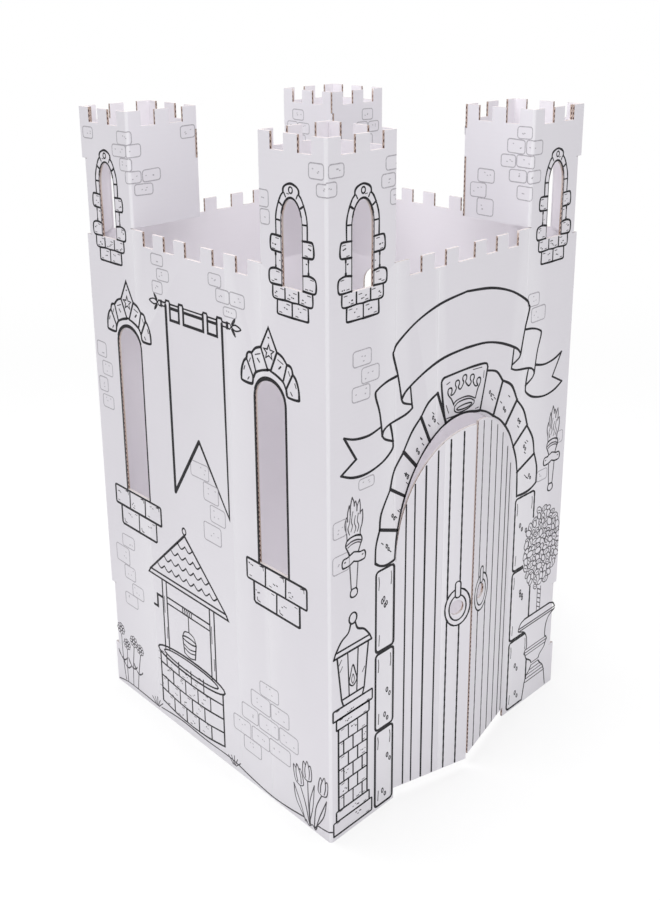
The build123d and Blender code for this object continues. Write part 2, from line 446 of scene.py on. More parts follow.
class Pen:
    """Strokes for one face, each as its points, width, ink and whether it closes on itself."""

    def __init__(self, clear=anywhere):
        self.strokes, self.clear = [], clear
        self.place()

    def place(self, across=0.0, up=0.0, way=1):
        """Puts the pen's zero there. With way -1 it draws mirrored from then on."""
        self.zero, self.way = (across, up), way

    def both(self, across, up=0.0):
        """Places the pen mirrored and then plain, for what is drawn once for each side."""
        for way in (-1, 1):
            self.place(across, up, way)
            yield way

    def on_face(self, points):
        return [(self.zero[0] + self.way * x, self.zero[1] + y) for x, y in points]

    def add(self, track, width, tone=BLACK, closed=False):
        self.strokes.append(([self.clear(*point) for point in track], width * ink_spread, tone, closed))

    def line(self, width, *points, tone=BLACK, closed=False):
        self.add(self.on_face(points), width, tone, closed)

    def curve(self, width, *points, tone=BLACK, closed=False, steps=5):
        self.add(through(self.on_face(points), closed, steps), width, tone, closed)

    def draw(self, *strokes, tone=BLACK):
        """Strokes as a width and points: two points make a straight line, more a curve."""
        for width, *points in strokes:
            stroke = self.line if len(points) == 2 else self.curve
            stroke(width, *points, tone=tone)

    def soft(self, *strokes):
        self.draw(*strokes, tone=SOFT)

    def level(self, width, *lines, tone=BLACK):
        """Level lines over the pen's zero, each as its half width and its height."""
        self.draw(*((width, (-half, up), (half, up)) for half, up in lines), tone=tone)

    def ring(self, width, across, up, half_width, half_height, tone=BLACK):
        self.line(width, *oval(across, up, half_width, half_height)[:-1], tone=tone, closed=True)

    def box(self, width, left, right, low, high, radius):
        self.line(width, *rounded(left, right, low, high, radius), closed=True)

    def spot(self, across, up, size=1.6, tone=BLACK):
        x, y = self.on_face([(across, up)])[0]
        self.add([(x - size / 2, y), (x + size / 2, y + 0.3)], size, tone)

    def cover(self, points):
        """Rubs out what was drawn inside an outline, for a thing that stands in front."""
        outline, kept = self.on_face(points), []
        for track, width, tone, closed in self.strokes:
            path = [] if apart(track, outline) else stepped(track + track[:1] if closed else track)
            hidden = [inside(point, outline) for point in path]
            if not any(hidden):
                kept.append((track, width, tone, closed))
                continue
            run = []
            for point, gone in zip(path + [None], hidden + [True]):
                if not gone:
                    run.append(point)
                    continue
                if len(run) > 2:
                    kept.append((run, width, tone, False))
                run = []
        self.strokes = kept


# %% [markdown]
# ## Pressing the ink
# A stroke becomes a strip of quads: at each point the two sides step off square to the path, and
# at a corner they meet on its mitre. Open ends get a rounded cap, and the width swells and thins
# by a tenth, as a drawn line does. A Solidify modifier then gives the film its thickness. The
# folds are rounded, so ink beside one is laid round its curve instead of standing off the board.
# Two films at one height would flicker black where strokes cross, so each stroke lies a few
# thousandths of a millimetre above the one before.


# %% Turn strokes into ribbons
cap_turns = (0.6, 1.1, 1.5)
sharpest_mitre = 0.5


def unit(x, y):
    length = hypot(x, y) or 1.0
    return x / length, y / length


def capped(points, half):
    """The path with a round cap at each end, as (point, half width)."""
    path = [(point, half) for point in points]
    for end, inner in ((0, 1), (-1, -2)):
        x, y = points[end]
        dx, dy = unit(x - points[inner][0], y - points[inner][1])
        cap = [((x + dx * half * sin(t), y + dy * half * sin(t)), half * cos(t)) for t in cap_turns]
        path = cap[::-1] + path if end == 0 else path + cap
    return path


def sides(path, closed):
    """Left and right points of the ribbon along a path."""
    count = len(path)
    for k in range(count):
        (x, y), half = path[k]
        before = path[k - 1][0] if k or closed else None
        after = path[(k + 1) % count][0] if k < count - 1 or closed else None
        ox, oy = unit(after[0] - x, after[1] - y) if after else unit(x - before[0], y - before[1])
        ix, iy = unit(x - before[0], y - before[1]) if before else (ox, oy)
        mx, my = unit(-(iy + oy), ix + ox)
        stretch = half / max(sharpest_mitre, my * ix - mx * iy)
        yield (x + mx * stretch, y + my * stretch), (x - mx * stretch, y - my * stretch)


# %% Places on a face
class Face:
    """A printed face: where its measuring starts, which way it runs, and which way is out.

    Each fold is its place across, the way that leads from it onto the face, and its lower end.
    """

    def __init__(self, start, along, outward, folds=()):
        self.start, self.along, self.outward, self.folds = start, along, outward, folds

    def rounds(self, across, up):
        """The folds whose curve a point lies on, as place, way and distance from the sharp corner."""
        for fold, way, lowest in self.folds:
            inward = (across - fold) * way
            if up > lowest and abs(inward) < fold_radius:
                yield fold, way, inward

    def point(self, across, up, lift):
        out = lift
        for fold, way, inward in self.rounds(across, up):
            turn = radians(45) * (1 - inward / fold_radius)
            reach = fold_radius + lift
            across = fold + way * (fold_radius - reach * sin(turn))
            out = reach * cos(turn) - fold_radius
        return (self.start + self.along * across + Vector((0, 0, up)) + self.outward * out) * MM


# %% Press a pen's strokes on a face
film_step, films = 0.006, 7
thinnest, thickest, swell, swell_turn = 0.94, 1.06, 0.1, 0.5


def press(name, pen, face):
    """One mesh with all the strokes of a face."""
    mesh = bmesh.new()
    chance = random.Random(name)
    for number, (points, width, tone, closed) in enumerate(pen.strokes):
        lift = ink_lift + film_step * (number % films)
        if any(True for point in points for _ in face.rounds(*point)):
            points = stepped(points + points[:1])[:-1] if closed else stepped(points)
        half, phase = width / 2 * chance.uniform(thinnest, thickest), chance.uniform(0, 2 * pi)
        path = [(point, half) for point in points] if closed else capped(points, half)
        swells = (1 + swell * sin(phase + swell_turn * k) for k in range(len(path)))
        path = [(point, reach * more) for (point, reach), more in zip(path, swells)]
        pairs = [tuple(mesh.verts.new(face.point(*p, lift)) for p in pair) for pair in sides(path, closed)]
        spans = zip(pairs, pairs[1:] + pairs[:1]) if closed else zip(pairs, pairs[1:])
        for (left, right), (next_left, next_right) in spans:
            mesh.faces.new((left, right, next_right, next_left)).material_index = tone
    mesh.normal_update()
    for strip in mesh.faces:
        if strip.normal.dot(face.outward) < 0:
            strip.normal_flip()
    print(name, len(pen.strokes), "strokes,", len(mesh.faces), "faces")
    piece = add_piece(name, mesh, inks)
    film = piece.modifiers.new("film of ink", "SOLIDIFY")
    film.thickness, film.offset = ink_thickness * MM, 1.0


# %% [markdown]
# ## Loose bricks
# Here and there the print hints at masonry with a few pale bricks. Each is a rounded box that no
# hand would draw quite true, so its sides wander a little, and three specks roughen a wide one, one a narrow
# one.

# %% Bricks
brick_chance = random.Random(7)


def brick(pen, left, right, low, high):
    """One pale brick with rounded corners and a few specks."""
    wander = [brick_chance.uniform(-1.0, 1.0) for _ in range(4)]
    corners = rounded(left + wander[0], right + wander[1], low + wander[2], high + wander[3], 4.5)
    lean = brick_chance.uniform(-0.03, 0.03)
    pen.line(1.2, *[(x, y + lean * (x - left)) for x, y in corners], tone=PALE, closed=True)
    for _ in range(3 if right - left > 20 else 1):
        across = brick_chance.uniform(left + 7, right - 7)
        up = brick_chance.uniform(low + 6, high - 6)
        pen.spot(across, up, size=1.2, tone=PALE)


def bricks(pen, *rows):
    """Rows of bricks: lowest edge, top edge, then each brick's left and right."""
    pen.place()
    for low, high, *ends in rows:
        for left, right in zip(ends[::2], ends[1::2]):
            brick(pen, left, right, low, high)


def hide_past_folds(pen, first, last, *tower_folds):
    """Cuts off bricks where the board folds away: at the ends of a wall and beside its towers."""
    top, wall, past = 1100.0, 880.0, 90.0
    pen.cover(block(first - past, first, 0, top))
    pen.cover(block(last, last + past, 0, top))
    if tower_folds:
        pen.cover(block(*tower_folds, wall, top))


def specks(pen, chance, left, right, low, high, count=3):
    """Chisel marks: a few spots close together, and thin dashes in two corners of a wide stone."""
    across = chance.uniform(left + 4, right - 7)
    up = chance.uniform(low + 5, high - 6)
    for k in range(count):
        spot_across = across + 3.9 * k + chance.uniform(-0.8, 0.8)
        pen.spot(spot_across, up + chance.uniform(-2.6, 2.6), size=chance.uniform(0.9, 1.5))
    if right - left > 15:
        upper_dash = (0.9, (left + 3, high - 2.8), (left + 9, high - 2.4))
        lower_dash = (0.9, (right - 8, low + 2.8), (right - 3, low + 3.2))
        pen.soft(upper_dash, lower_dash)


# %% [markdown]
# ## Stone round the tower windows
# Each tower window has long and short stones up its sides, two courses of sill below and a round
# keystone with a ring. The stones mirror about the middle, so each is drawn once for each side.


# %% Tower window stones
def tower_window(pen, middle, rim_gap=1.4):
    chance, hole = random.Random(int(middle)), tower_window_half + rim_gap
    pen.place(middle, tower_sill)
    rim = oval(0, tower_window_straight, hole, tower_window_rise + rim_gap, 0, 180, 16)
    pen.line(1.2, (hole, 0), *rim, (-hole, 0))
    pen.line(2.2, *rim[2:-2])
    pen.draw((2.4, (-15.5, 131), (-15, 137), (-10, 141.5), (0, 144.3), (10, 141.5), (15, 137), (15.5, 131)))
    pen.ring(1.6, 0.5, 135.5, 3.7, 4.3)
    pen.soft((1.0, (4, 130), (8, 130.4)))
    upper = (21.5, 70), (38, 70.6), (41.8, 68), (43.2, 61), (43.2, 53), (41.2, 49.2), (36, 48.3), (21.5, 47.6)
    lower = (21.5, 22.3), (33, 24), (43, 22), (46.8, 17.5), (47.2, 8), (45.5, 2.6), (40, 0.8), (21.5, 1.4)
    worn = (  # each stone's near and far side, its low and high edge, and its number of spots
        (23, 42, 48, 69, 2), (23, 45, 2, 22, 2), (23, 31, 26, 46, 1),
        (15, 39, -19, -1, 2), (3, 30, -40, -21, 2),
    )
    for way in pen.both(middle, tower_sill):
        pen.draw(
            (2.1, (15.5, 131), (20, 126.5), (24.3, 118.5), (27.8, 110), (30.3, 101), (31.2, 91), (31, 71)),
            (1.5, (13.4, 130.5), (10.5, 125.5)), (2.3, (18.8, 113.5), (25, 117.5)),
            (1.9, (22, 92), (31, 92.4)), (2.4, *upper), (2.4, *lower),
            (1.5, (32.7, 47), (32.7, 24)), (2.6, (32.7, 43), (32.7, 46)), (2.6, (32.7, 25), (32.7, 28)),
            (2.2, (40, 0), (40.4, -13), (38.5, -18.3), (30, -19.6), (12, -18.6), (0, -19.5)),
            (2.4, (31, -20), (31.5, -36), (30, -40.2), (20, -40.8), (0, -41)),
        )
        pen.place(middle, tower_sill)
        for near, far, low, high, count in worn:
            specks(pen, chance, *sorted((way * near, way * far)), low, high, count)
    pen.draw((2.1, (-12.5, -2), (-12.5, -18)), (2.1, (15, -2), (15, -18)))
    specks(pen, chance, -11, 13, -18, -3)
    pen.draw((2.0, (0.8, -20), (0.8, -40)))


# %% [markdown]
# ## The tall windows
# A bold line runs round the opening, thickest at its crown. Above it stand five arch stones, the
# middle one a kite with a star, and below it two courses of sill.


# %% Tall window stones
def star(pen, up, outer, inner, width):
    reaches = (outer, inner) * 5
    turns = [radians(90 + 36 * k) for k in range(10)]
    points = [(reach * cos(turn), up + reach * sin(turn)) for reach, turn in zip(reaches, turns)]
    pen.line(width, *points, closed=True)


def tall_window_rim(pen, width=2.9):
    """The line round the opening, drawn just outside its edge."""
    reach = tall_half + width * ink_spread / 2
    top = tall_rise + width * ink_spread / 2
    foot = tall_sill - 2
    pen.line(width, (-reach, foot), *oval(0, tall_spring, reach, top, 180, 0), (reach, foot))
    pen.line(width * 0.8, *oval(0, tall_spring, reach + 1.2, top + 2.6, 160, 20))


def tall_window(pen, middle, sill_shift=0.0):
    pen.place(middle)
    tall_window_rim(pen)
    pen.line(2.9, (0, 804), (17.5, 771.5), (3.5, 741), (-3.5, 741), (-17.5, 771.5), closed=True)
    star(pen, 767.5, 11.5, 5.0, 1.8)
    pen.spot(0, 789)
    foot = ((50, 746.5), (56, 741), (61, 729), (62.5, 716), (60, 710.5), (40, 710), (36.5, 716), (36, 722))
    for _ in pen.both(middle):
        pen.draw(
            (2.9, (3, 740), (16, 736.5), (29.5, 730), (35, 721)),
            (2.9, (17.5, 771.5), (29, 767), (38, 758)), (2.6, (38, 758), (29.5, 731)),
            (2.9, (38, 758), (44, 757.5), (48, 754), (50, 746.5)), (2.6, (50, 747), (35.5, 721)),
            (2.9, *foot), (1.9, (21, 748), (25, 752)),
        )
        pen.soft((1.2, (19, 761), (30, 757)))
        pen.draw((1.4, (54, 734), (56.5, 728)), (1.5, (45, 719), (48, 715)), (1.2, (41, 749), (44, 743)))
    tall_sill_stones(pen, middle + sill_shift)


# %% Sill of a tall window
def tall_sill_stones(pen, middle):
    """Two courses of sill stones."""
    chance = random.Random(int(middle))
    top, joint, foot = tall_sill - 2.5, 384.5, 348.0
    pen.place(middle)
    pen.box(2.9, -68, 68, joint, top, 3)
    pen.line(2.9, (-52, joint - 1), (-52, foot + 2), (-49, foot))
    pen.line(2.9, (-49, foot), (49, foot), (52, foot + 3), (52, joint - 1))
    pen.draw((2.4, (-22, top), (-21, joint)), (2.4, (24, top), (25, joint)), (2.4, (-1, joint), (0, foot)))
    for left in (-66, -21, 25):
        specks(pen, chance, left, left + 40, joint + 3, top)
        pen.draw((1.0, (left + 4, top - 9), (left + 5, top - 4), (left + 12, top - 4)))
    for left in (-50, 2):
        specks(pen, chance, left, left + 46, foot + 3, joint - 3)
        pen.draw((1.0, (left + 36, foot + 5), (left + 42, foot + 6), (left + 43, foot + 11)))


# %% [markdown]
# ## The pennant
# A blank swallow-tailed cloth hangs by four loops from a pole with a spear tip at each end. It is
# the boldest line work on the window wall.


# %% Pennant on its pole
def spear(pen, across, up, way):
    """The tip of the pole, pointing along way."""
    pen.place(across, up, way)
    pen.curve(1.8, (0, 0), (9, 4.5), (21, 0), (9, -4.5), closed=True)
    for rise in (-1, 1):
        pen.draw(
            (1.6, (-9, 2.6 * rise), (-5, 4.4 * rise), (-1, 0)),
            (1.9, (8, 13 * rise), (6, 8 * rise), (1, 3 * rise)),
            (1.9, (8, 13 * rise), (4, 10 * rise), (0, 4 * rise)),
        )
    pen.draw((1.9, (-9, 5), (-9, -5)), (1.9, (-12, 5), (-12, -5)))


def pennant(pen):
    left, right, low, high, top = 223.5, 365.0, 783.5, 790.0, 791.0
    gaps = ((236.5, 259), (270, 319.5), (331, 354))
    cloth = [(right, 786), (right - 2, 466), (293, 577), (left - 1, 468), (left + 1, 786)]
    pen.place()
    pen.line(4.1, *cloth[:2])
    pen.line(3.9, *cloth[1:3])
    pen.line(4.1, *cloth[2:])
    for start, end in gaps:
        pen.line(3.1, (end, top), (end, 764), (start, 764), (start, top))
        pen.draw((3.6, (start, low), (end, low)), (2.0, (start, high), (end, high)))
    for start, end in ((left, 236.5), (259, 270), (319.5, 331), (354, right)):
        pen.line(2.6, (start, top), (start + 1.5, top + 3.5), (end - 1.5, top + 3.5), (end, top))
    for end, way in ((right, 1), (left, -1)):
        pen.place(end, 0, way)
        pen.draw((2.0, (0, low), (12, low)), (2.0, (0, high), (12, high)))
        spear(pen, end + way * 22, (low + high) / 2, way)


# %% [markdown]
# ## The banner ribbon
# Over the door a blank ribbon arches between two folded tails. It mirrors about its middle, so one
# half is drawn twice.


# %% Banner ribbon
def banner(pen, middle=292.5):
    top = ((0, 822), (60, 815.5), (112, 800), (152, 778), (161, 767), (162.5, 759), (152.5, 727), (144, 688))
    hem = ((168, 657), (164, 642), (161.5, 625), (164, 615), (184, 602), (216, 595), (245, 598), (268, 608))
    for _ in pen.both(middle):
        pen.curve(2.9, *top, steps=6)
        pen.draw(
            (2.9, (0, 732), (50, 729), (92, 718), (132, 700), (144, 688)),
            (2.6, (144, 688), (139, 681), (121, 674)), (2.6, (125, 702), (121.5, 676), (120, 668)),
            (2.7, (120, 668), (135, 662), (168, 657), (181, 651), (184.5, 643)),
            (2.7, (152.5, 727), (175, 724), (194, 717), (199, 709), (190, 680), (184.5, 643)),
            (2.6, (184.5, 643), (178, 636), (161, 628)), (2.7, *hem),
        )
        pen.line(2.7, (268, 608), (238, 624), (262, 663))
        pen.draw((2.7, (262, 663), (240, 655), (212, 652.5), (187, 658)))


# %% [markdown]
# ## The stone arch
# The arch stones are wedges between an outer and an inner line. Their joints were read off the
# print one by one, because the drawn arch isn't quite even. The knife cut the door a little to
# one side of the drawing, so on the left the inner line runs along the opening's rim.


# %% Keep the drawing off the door's opening
def clear_of_door(across, up, margin=2.4):
    """Moves a point that would fall in the opening to its rim."""
    half, rise = door_width / 2 + margin, door_rise + margin
    off = across - door_middle
    above = max(up - door_spring, 0.0)
    reach = hypot(off / half, above / rise)
    if reach >= 1:
        return across, up
    if above:
        return door_middle + off / reach, door_spring + above / reach
    return door_middle + (half if off > 0 else -half), up


# %% Arch stones
left_outer = (
    ((95, 443), (96, 470), (103, 492)), ((104, 495), (107, 520), (125, 551)),
    ((126, 553), (134, 580), (153, 602)), ((154, 604), (172, 630), (191, 647)),
    ((192, 648), (208, 666), (229, 676)),
)
left_inner = (
    ((148, 434), (149, 455), (151, 477)), ((151, 477), (158, 503), (168, 523)),
    ((168, 523), (178, 545), (190, 562)), ((190, 562), (202, 580), (216, 596)),
    ((216, 596), (233, 609), (251, 618)),
)
right_outer = (
    ((498, 438), (498, 466), (490, 492)), ((488, 495), (482, 525), (465, 552)),
    ((464, 555), (452, 585), (433, 607)), ((432, 609), (416, 638), (394, 652)),
    ((391, 653), (374, 673), (350, 681)),
)
right_inner = (
    ((443, 430), (442, 455), (441, 476)), ((441, 476), (436, 503), (427, 527)),
    ((427, 527), (416, 552), (402, 572)), ((402, 572), (387, 587), (369, 599)),
    ((369, 599), (351, 611), (332, 619)),
)


def arch_stone(pen, outer, inner, chance):
    """A wedge: its outer edge and its inner edge, each from the lower end to the upper."""
    pen.draw((3.0, *outer), (2.8, *inner))
    middle = [sum(part) / len(outer + inner) for part in zip(*outer, *inner)]
    x, y = middle[0] + chance.uniform(-8, 8), middle[1] + chance.uniform(-6, 6)
    pen.ring(1.3, x, y, 1.6, 2.6)
    pen.ring(1.3, x + 4, y - 6, 1.5, 2.4)
    for _ in range(3):
        x, y = middle[0] + chance.uniform(-14, 14), middle[1] + chance.uniform(-12, 12)
        pen.draw((1.1, (x - 2, y + 2), (x + 2, y - 2)))


def door_arch(pen):
    chance = random.Random(3)
    pen.place()
    for outers, inners in ((left_outer, left_inner), (right_outer, right_inner)):
        for outer, inner in zip(outers, inners):
            arch_stone(pen, outer, inner, chance)
        for outer, inner in zip(outers[1:], inners[1:]):
            pen.line(3.8, outer[0], inner[0])
    pen.draw(
        (3.6, (229, 676), (251, 618)), (3.2, (95, 443), (106, 435), (120, 431), (137, 433)),
        (3.2, (443, 431), (462, 429), (482, 431), (498, 438)),
    )


# %% [markdown]
# ## The keystone's crown
# The middle stone carries a small crown: a band seen a little from above, and five round-tipped
# points. A loop walks over the tips, down into each valley and up the next.


# %% Keystone and crown
def keystone(pen):
    pen.place()
    pen.draw(
        (3.1, (250, 618), (243, 650), (238, 685), (239, 693), (244, 696.5)),
        (2.9, (244, 696.5), (290, 697.5), (320, 697), (345, 694.5), (350, 687)),
        (2.9, (350, 687), (345, 665), (338, 635), (334, 619)),
        (3.2, (250, 618), (270, 622), (290, 622.5), (315, 621), (334, 618)),
    )
    crown(pen)
    pen.place()
    pen.soft((1.1, (313, 692), (335, 690.5)), (1.1, (322, 625), (330, 625)), (1.1, (341, 683), (340, 672)))
    pen.draw((1.3, (250, 684), (257, 686)), (1.3, (252, 628), (276, 627)), (1.3, (250, 650), (256, 636)))


def crown(pen, middle=293.0):
    tips = ((-35, 671.5), (-17.5, 679.5), (0, 684), (18.5, 680), (35, 670.5))
    valleys = ((-25.5, 664.5), (-9.5, 668), (10, 668), (26, 664), (33, 657))
    knob = ((-2.4, -7.5), (-4.8, -2), (-4, 3), (0, 4.6), (4, 3), (4.8, -2), (2.4, -7.5))
    walk = [(-25, 646), (-31, 657)]
    for (across, up), valley in zip(tips, valleys):
        walk += [(across + x, up + y) for x, y in knob] + [valley]
    pen.place(middle)
    pen.curve(1.8, *walk, (28, 643), steps=4)
    pen.draw(
        (1.6, (-25, 648), (-18, 651.5), (-3, 652.5), (12, 650.5), (27, 643)),
        (1.6, (-22, 643), (-15, 647), (-1, 648), (14, 646), (23, 641)),
        (1.7, (-23, 643), (-23, 636), (-16, 631), (-3, 629.5), (12, 631), (24, 635), (25, 640)),
    )
    pen.ring(1.7, 1, 636.5, 18.5, 3.5)


# %% [markdown]
# ## Stones beside the door
# Below the arch, three long stones stand on each side. Marks of the chisel run along their edges.


# %% Jambs
def jamb(pen, left, right, joints):
    """Upright stones between two heights each."""
    chance = random.Random(int(left))
    pen.place()
    for high, low in zip(joints, joints[1:]):
        pen.box(2.9, left, right, low + 2, high - 2, 6)
        for x in (left + 6, right - 7):
            pen.draw((1.1, (x, high - 12), (x + 1, high - 22), (x, high - 34)))
        for _ in range(2):
            x, y = chance.uniform(left + 10, right - 10), chance.uniform(low + 20, high - 40)
            pen.ring(1.4, x, y, 2.0, 4.0)
            pen.ring(1.4, x + 6, y - 9, 1.8, 3.4)
        pen.draw((1.1, (left + 7, low + 12), (left + 8, low + 30)))


# %% [markdown]
# ## Torches
# A torch hangs on each side of the arch. Its halves mirror, all but the flame, whose tongues
# follow one wandering line.


# %% Torch
def torch(pen, middle, foot=407.0):
    pen.place(middle, foot)
    pen.cover(both_sides(((4, 0), (9, 54), (23, 60), (16, 90), (17, 130), (0, 158))))
    collar = (0, 73.5), (8, 71), (13, 69), (21, 68.5), (24, 63), (23, 56), (19, 54.5), (9, 55), (0, 58.5)
    for _ in pen.both(middle, foot):
        pen.draw((1.9, (4, 14), (7, 10), (7, 4), (4, 1), (0, 0)))
        pen.soft((1.6, (5.5, 14), (8.5, 55)))
        pen.draw((1.9, *collar), (1.8, (9.5, 72), (13, 80), (16.5, 87), (16, 92), (14, 96)))
        pen.spot(18, 63, tone=SOFT)
    pen.level(1.8, (4, 14))
    pen.draw((2.1, (-14, 96), (-6, 98.5), (5, 98.5), (14, 95.5)))
    pen.soft(
        (1.7, (-16, 88), (-6, 91.5), (6, 91), (16, 87)),
        (1.4, (-12, 84.5), (-5, 87), (6, 87), (15, 83.5)),
    )
    flame = (
        (-14, 97), (-17.5, 116), (-15, 133), (-13, 126), (-9.5, 150), (-7.5, 134), (-3.5, 161), (1, 146),
        (3.5, 153), (6, 137), (11.5, 153), (12.5, 130), (17.5, 135), (16.5, 112), (13, 96),
    )
    for k, (start, end) in enumerate(zip(flame, flame[1:])):
        lean = -1.6 if k % 2 else 1.2
        bulge = ((start[0] + end[0]) / 2 + lean, (start[1] + end[1]) / 2)
        pen.curve(1.5, start, bulge, end, tone=SOFT, steps=4)
    pen.soft(
        (1.2, (-9, 104), (-12, 114), (-9, 122), (-7, 136)), (1.2, (-6, 108), (-3, 116), (-5, 124), (-2, 138)),
        (1.2, (1, 104), (4, 111), (1, 120), (3, 130)), (1.2, (7, 104), (10, 112), (7, 121), (9, 132)),
    )


# %% [markdown]
# ## A clipped tree in an urn
# The tree's leaves are small and round, laid row by row inside an oval. Each is turned its own way
# and covers part of those before it, and each row is laid in mixed order, so that no rows show.


# %% Clipped tree
def clipped_tree(pen, middle=525.0, ball=304.0):
    chance = random.Random(11)
    half_width, half_height, rows, leaf_width, right_by = 55.0, 78.0, 14, 12.5, 1.5
    leaves = Pen()
    for row in range(rows):
        height = 1 - (row + 0.5) * 2 / rows
        reach = half_width * (1 - height ** 2) ** 0.5
        count = max(2, round(2 * reach / leaf_width))
        order = list(range(count))
        chance.shuffle(order)
        for k in order:
            x = middle - reach + (k + 0.5) * 2 * reach / count + chance.uniform(-2.8, 2.8)
            leaf(leaves, x + right_by, ball + height * half_height + chance.uniform(-3.2, 3.2), chance)
    pen.place(middle)
    pen.cover(oval(right_by, ball, half_width + 2, half_height + 3))
    pen.strokes += leaves.strokes
    under = ball - half_height - 4
    pen.soft((1.2, (-5, under), (-5, 175)), (1.2, (5, under), (5, 175)))
    pen.soft(*((1.4, (-5, up + 5), (5, up - 1)) for up in range(180, 222, 9)))
    urn(pen, middle - 2)


def leaf(pen, across, up, chance):
    """A round leaf turned at random, in front of those before it, with a short vein."""
    turn, size = radians(chance.uniform(-90, 90)), chance.uniform(1.0, 1.5)

    def at(x, y):
        return across + size * (x * cos(turn) - y * sin(turn)), up + size * (x * sin(turn) + y * cos(turn))
    edge = ((-6, 0), (-3, 3.6), (2.5, 4.2), (6.6, 1), (3, -3.6), (-3, -3.4))
    outline = through([at(*point) for point in edge], closed=True, steps=3)
    pen.cover(outline)
    pen.line(1.3, *outline, tone=SOFT, closed=True)
    if chance.random() < 0.5:
        pen.line(1.0, at(-1.8, -1.2), at(2.0, 1.6), tone=SOFT)


# %% Urn
def urn(pen, middle):
    foot = ((36, 4), (30, 38), (25, 50), (11, 70), (28, 88), (34, 101))
    bowl = ((28, 118), (30, 134), (38, 147), (53, 154), (55, 161), (38, 174))
    pen.place(middle)
    pen.cover(both_sides(foot + bowl))
    pen.level(2.4, (38, 174))
    pen.level(1.7, (55, 160), (55, 155), tone=SOFT)
    for _ in pen.both(middle):
        pen.draw(
            (2.0, (38, 174), (50, 169), (56, 158), (53, 154)),
            (1.8, (53, 154), (38, 147), (30, 134), (28, 118), (29, 108)),
            (1.8, (31, 108), (35, 101), (31, 96), (28, 88), (15, 78), (11, 71)),
            (1.8, (11, 66), (17, 58), (25, 50), (30, 38)), (1.8, (30, 38), (36, 4)),
        )
    rings = ((33, 107), (34, 101), (32, 95), (11, 71), (11, 66), (17, 58), (24, 51), (28, 44), (31, 37))
    pen.level(1.4, *rings, tone=SOFT)


# %% [markdown]
# ## Flowers, grass and the ground
# Thin outlines at the foot of the walls: tulips by the near corner, daisies by the far one, tufts
# of grass and a line for the ground.


# %% Leaves and tulips
def leaf_blade(pen, root, tip, belly):
    """A long leaf from the ground to its tip, fuller on one side."""
    (x0, y0), (x1, y1) = root, tip
    mx, my = (x0 + x1) / 2, (y0 + y1) / 2
    back_edge = ((x0 + belly * 0.4, y0), (mx - belly * 0.2, my - 4), tip)
    pen.soft((1.3, root, (mx + belly, my), tip), (1.3, *back_edge))


def tulip(pen, across, up, lean):
    """A flower head on its stem point."""
    petals = (
        ((0, 0), (9, 5), (10, 22), (8, 32), (4, 27)), ((0, 0), (-9, 5), (-10, 20), (-7, 31), (-3, 27)),
        ((-4, 5), (-5, 20), (0, 36), (5, 20), (4, 5)),
    )
    for petal in petals:
        pen.soft((1.4, *[(across + x + lean * y, up + y) for x, y in petal]))


def tulips(pen, left=49.0):
    stems = (
        (3, 84, 0.0, (2, 84), (1, 50), (-2, 6)), (20, 66, 0.18, (19, 66), (8, 40), (-1, 6)),
        (-30, 76, -0.15, (-29, 76), (-16, 45), (-12, 6)),
    )
    pen.place(left)
    for across, up, lean, *stem in stems:
        tulip(pen, across, up, lean)
        pen.soft((1.5, *stem))
    for root, tip, belly in (((5, 6), (34, 63), 9), ((-3, 8), (-13, 85), 6), ((-12, 5), (-40, 72), -7)):
        leaf_blade(pen, root, tip, belly)
    pen.soft((1.3, (6, 10), (0, 3), (-8, 9), (-15, 4), (-20, 16)))


# %% Daisies and grass
def daisy(pen, across, up, size, foot):
    """A round flower of petals on a stem with two leaves."""
    petal, out = size * 0.3, size * 0.68
    pen.place()
    pen.ring(1.2, across, up, petal, petal, tone=SOFT)
    for turn in (radians(45 * k) for k in range(8)):
        pen.ring(1.1, across + out * cos(turn), up + out * sin(turn), petal, petal, tone=SOFT)
    middle = ((across + foot) / 2 + 2, up * 0.45)
    pen.soft((1.3, (across, up - size), middle, (foot, 12)))
    leaf_blade(pen, middle, (middle[0] + 14, middle[1] + 16), 4)
    leaf_blade(pen, middle, (middle[0] - 13, middle[1] + 9), -4)


def grass(pen, across, spread=16, tall=26):
    """A tuft of five blades."""
    pen.place(across)
    for k in (-2, -1, 0, 1, 2):
        high = tall * (1 - 0.12 * abs(k))
        pen.soft((1.3, (k * 2.2, 8), (k * 3.4, high * 0.55), (k * spread / 2, high)))


# %% [markdown]
# ## A draw-well
# The lower half of the window wall has room for one large motif. A roofed draw-well suits a castle
# yard and is plain to draw: a ring of stones, two posts, a tiled roof, a crank and a bucket.


# %% Well ring and posts
def well_stones(pen, low, half, course=27.0):
    chance = random.Random(21)
    for row in range(4):
        base, sag = low + row * course, 10 - 1.5 * row
        for way in (-half, half):
            pen.draw((2.3, (0, base - sag), (way * 0.5, base - sag * 0.75), (way, base)))
        for k in range(1, 5):
            joint = -half + (k + 0.5 * (row % 2)) * 2 * half / 5
            foot = base - sag * (1 - (joint / half) ** 2)
            pen.draw((2.0, (joint, foot), (joint, foot + course)))
            specks(pen, chance, joint + 4, joint + 28, foot + 2, foot + course, 2)


